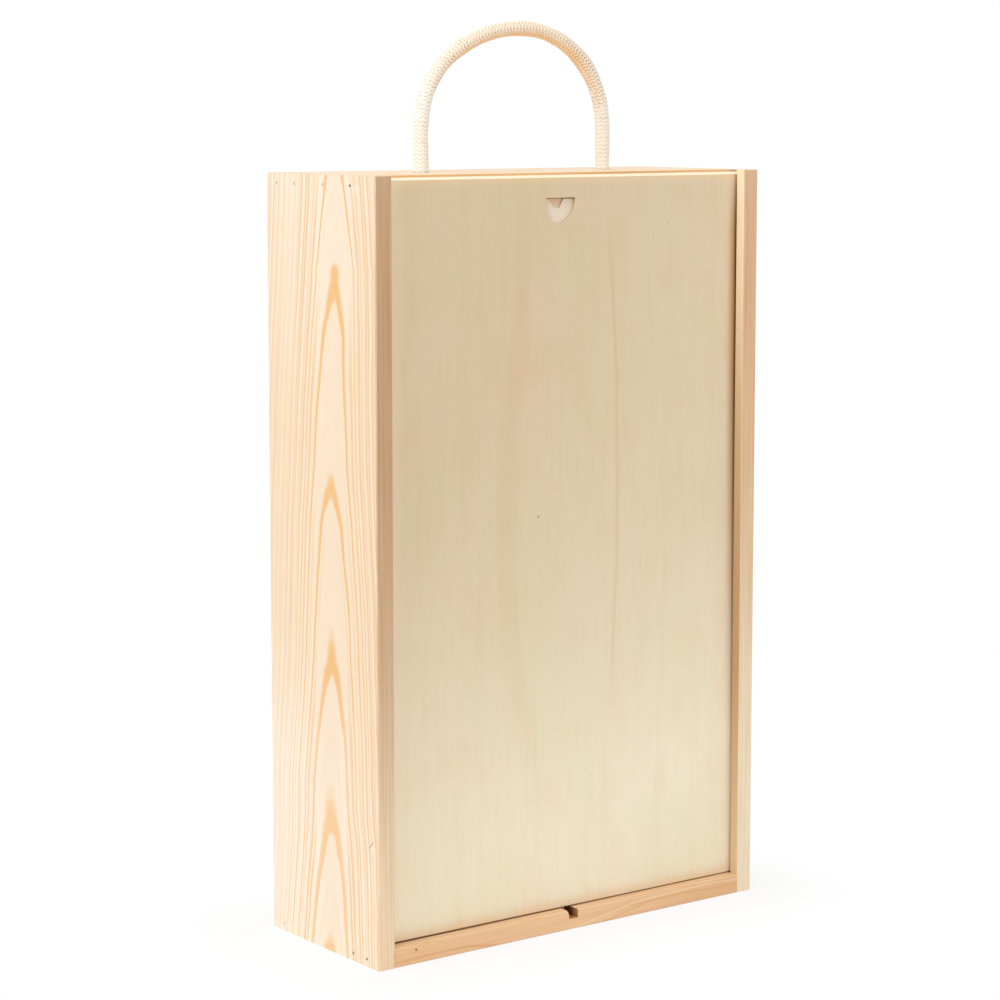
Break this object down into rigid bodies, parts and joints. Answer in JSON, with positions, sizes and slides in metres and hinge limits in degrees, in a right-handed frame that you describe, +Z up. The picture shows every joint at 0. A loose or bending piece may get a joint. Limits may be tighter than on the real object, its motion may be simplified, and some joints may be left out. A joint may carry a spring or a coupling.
{
  "type": "two-bottle wooden wine box with sliding lid",
  "caption": "Upright pine box for two wine bottles, with a plywood lid that slides up in grooves, a divider and a swinging rope handle.",
  "frame": {"origin": "on the ground, under the middle of the box", "axes": "+Z up, -Y towards the lid at the front, +X to the right seen from the front"},
  "size_m": [0.225, 0.09, 0.4308],
  "materials": {
    "pine": "planed and sanded, unvarnished pine",
    "plywood": "sanded, unvarnished plywood",
    "lid_plywood": "finely sanded, unvarnished pale plywood",
    "rope": "undyed plaited cotton",
    "steel": "bright wire nails"
  },
  "bodies": {
    "box": {"left_side": "pine", "right_side": "pine", "top_end": "pine", "bottom_end": "pine", "back_panel": "plywood", "divider": "plywood", "rope_knot_left": "rope", "rope_knot_right": "rope", "brads_top_left": "steel", "brads_top_right": "steel", "brads_bottom_left": "steel", "brads_bottom_right": "steel", "back_pins": "steel"},
    "lid": {"lid": "lid_plywood"},
    "handle": {"rope_handle": "rope"}
  },
  "joints": [
    {"name": "lid_slide", "type": "slide", "parent": "box", "child": "lid", "axis": [0, 0, 1], "range_m": [0, 0.352]},
    {"name": "handle_swing", "type": "hinge", "parent": "box", "child": "handle", "pos_m": [0, 0.0034, 0.3638], "axis": [-1, 0, 0], "range_deg": [-28, 88], "stiffness_Nm_per_rad": 0.02}
  ]
}
